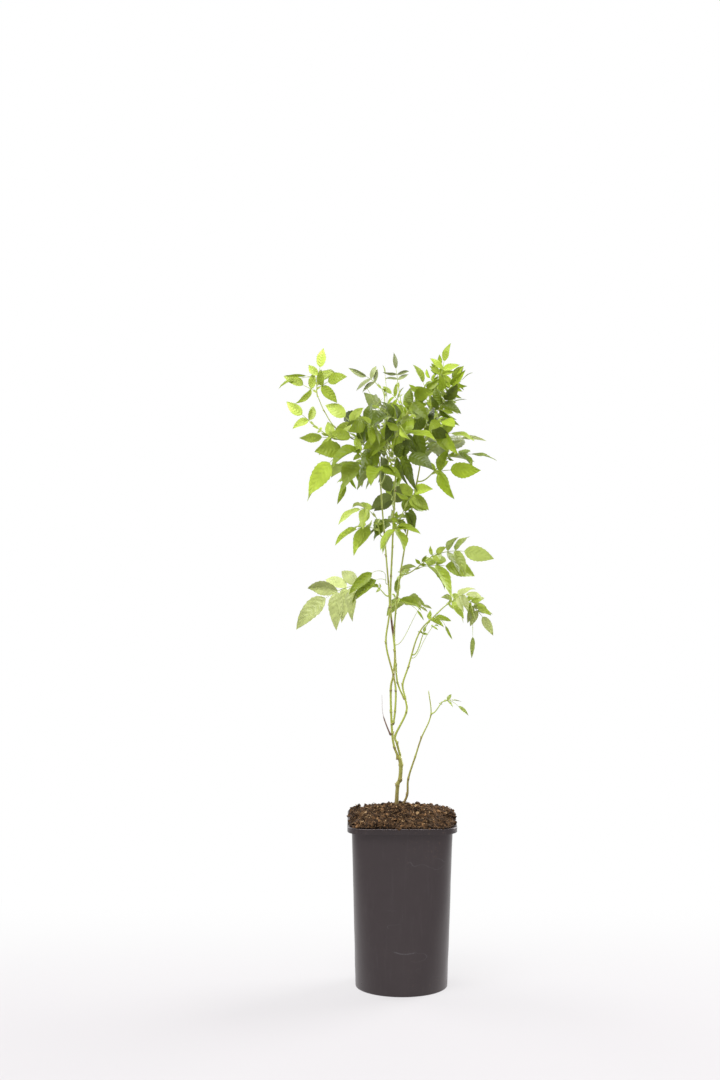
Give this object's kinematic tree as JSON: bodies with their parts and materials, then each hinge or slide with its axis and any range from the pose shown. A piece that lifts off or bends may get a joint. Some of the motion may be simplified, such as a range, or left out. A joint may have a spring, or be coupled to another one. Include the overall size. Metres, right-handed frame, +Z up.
{
  "type": "potted climbing rose bush",
  "caption": "Young climbing rose in a tapered nursery pot: slender forked green stems rise from the soil and carry pinnate leaves in an open head with lower side sprays.",
  "frame": {"origin": "centre of the pot's flat underside, on the surface that the plant stands on", "axes": "+Z up along the stems; the front of the plant faces -Y; +X to the right seen from the front, square to two of the pot's flat sides"},
  "size_m": [0.2676, 0.2069, 0.8157],
  "materials": {
    "pot": "satin charcoal moulded plastic",
    "soil": "rough dark fibrous peat",
    "cane": "smooth green bark, brown at the nodes",
    "dead": "dry brown bark",
    "young": "soft young leaf",
    "bright": "satin leaf",
    "grown": "satin dark leaf"
  },
  "bodies": {
    "root": {"pot": "pot", "soil": "soil", "main_stem": "cane", "left_stem": "cane", "middle_stem": "cane", "right_stem": "cane", "rear_stem": "cane", "arching_stem": "cane", "side_stem": "cane", "dead_snag": "dead", "foliage_top": "young", "foliage_shoot": "young", "foliage_high_left": "grown", "foliage_arching_top": "young", "foliage_arching_side": "young", "foliage_arching_foot": "bright", "foliage_side_left": "bright", "foliage_side_right": "bright", "foliage_crown_left": "grown", "foliage_crown_centre": "grown", "foliage_crown_right": "grown", "foliage_crown_rear_left": "grown", "foliage_crown_rear_right": "grown", "foliage_crown_front": "grown", "foliage_middle_left": "bright", "foliage_middle_right": "bright", "foliage_middle_rear": "grown", "foliage_middle_front": "grown", "foliage_low_left": "bright", "foliage_low_right": "bright", "foliage_low_centre": "bright", "foliage_low_rear": "bright", "foliage_lowest": "bright"}
  },
  "joints": []
}
